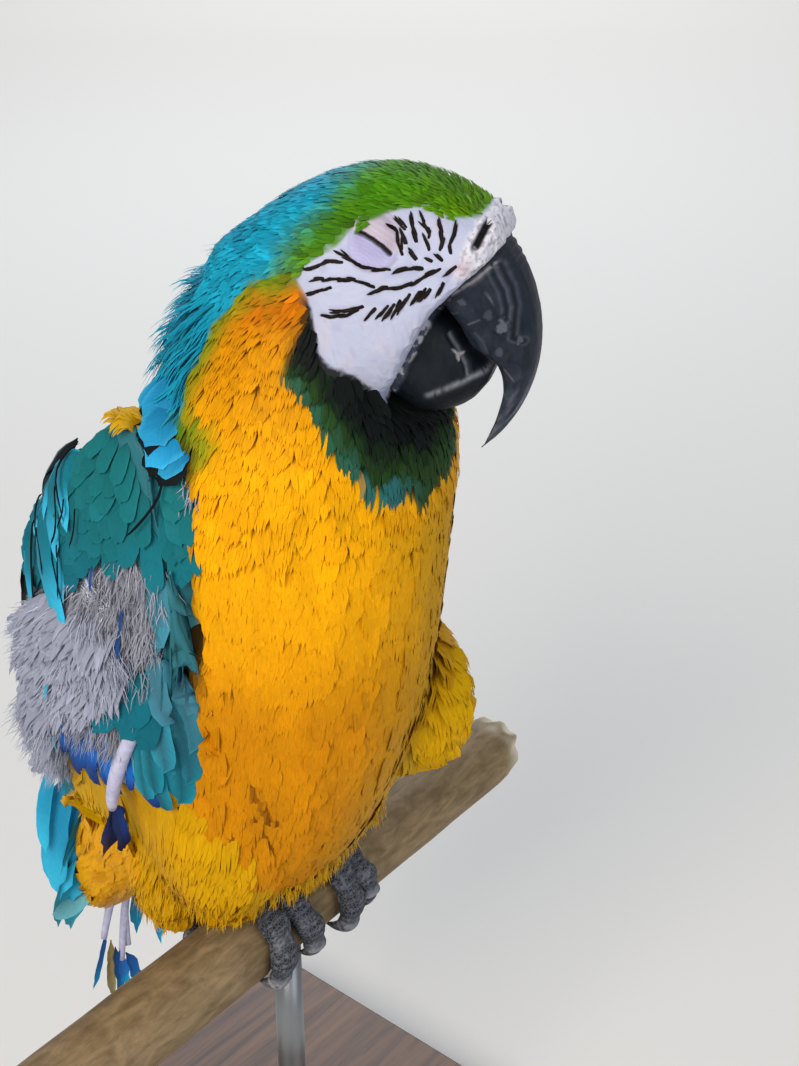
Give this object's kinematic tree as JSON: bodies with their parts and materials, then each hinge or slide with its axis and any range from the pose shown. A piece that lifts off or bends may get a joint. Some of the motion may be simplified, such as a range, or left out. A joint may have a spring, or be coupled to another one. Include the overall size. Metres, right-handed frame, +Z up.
{
  "type": "blue-and-yellow macaw on a perch",
  "caption": "Life-size still macaw gripping a short wooden dowel, head turned and eyes closed, held by a rod on a flat display base.",
  "frame": {"origin": "centre of the underside of the display stand's base, on the floor under the perch", "axes": "+Z up, the bird faces -Y with its tail towards +Y, the dowel runs along X, the bird's right side is at -X"},
  "size_m": [0.3, 0.256, 0.5402],
  "materials": {
    "green_plumage": "soft overlapping feathers, slight sheen",
    "yellow_plumage": "soft overlapping feathers, slight sheen",
    "blue_plumage": "soft overlapping feathers, slight sheen",
    "wing_plumage": "firm coverts and vanes over grey down, slight sheen",
    "face_skin": "bare matt skin with fine creases",
    "bill": "horn, satin with scratches and flaked spots",
    "eye": "wet and dark",
    "foot_skin": "scaled, dry and chalky",
    "claw": "horn, satin",
    "perch_wood": "bare turned wood, worn and chewed at one end",
    "stand_wood": "oiled, satin",
    "stand_steel": "brushed"
  },
  "bodies": {
    "root": {"perch": "perch_wood", "head": "green_plumage", "eye_right": "eye", "eye_left": "eye", "cere": "face_skin", "bill_upper": "bill", "bill_lower": "bill", "foot_right": "foot_skin", "foot_left": "foot_skin", "thigh_right": "yellow_plumage", "thigh_left": "yellow_plumage", "neck": "blue_plumage", "trunk": "yellow_plumage", "rump": "yellow_plumage", "wing_right": "wing_plumage", "wing_left": "wing_plumage", "tail": "blue_plumage", "stand_base": "stand_wood", "stand_rod": "stand_steel", "claw_right_1": "claw", "claw_right_2": "claw", "claw_right_3": "claw", "claw_right_4": "claw", "claw_left_1": "claw", "claw_left_2": "claw", "claw_left_3": "claw", "claw_left_4": "claw"}
  },
  "joints": []
}
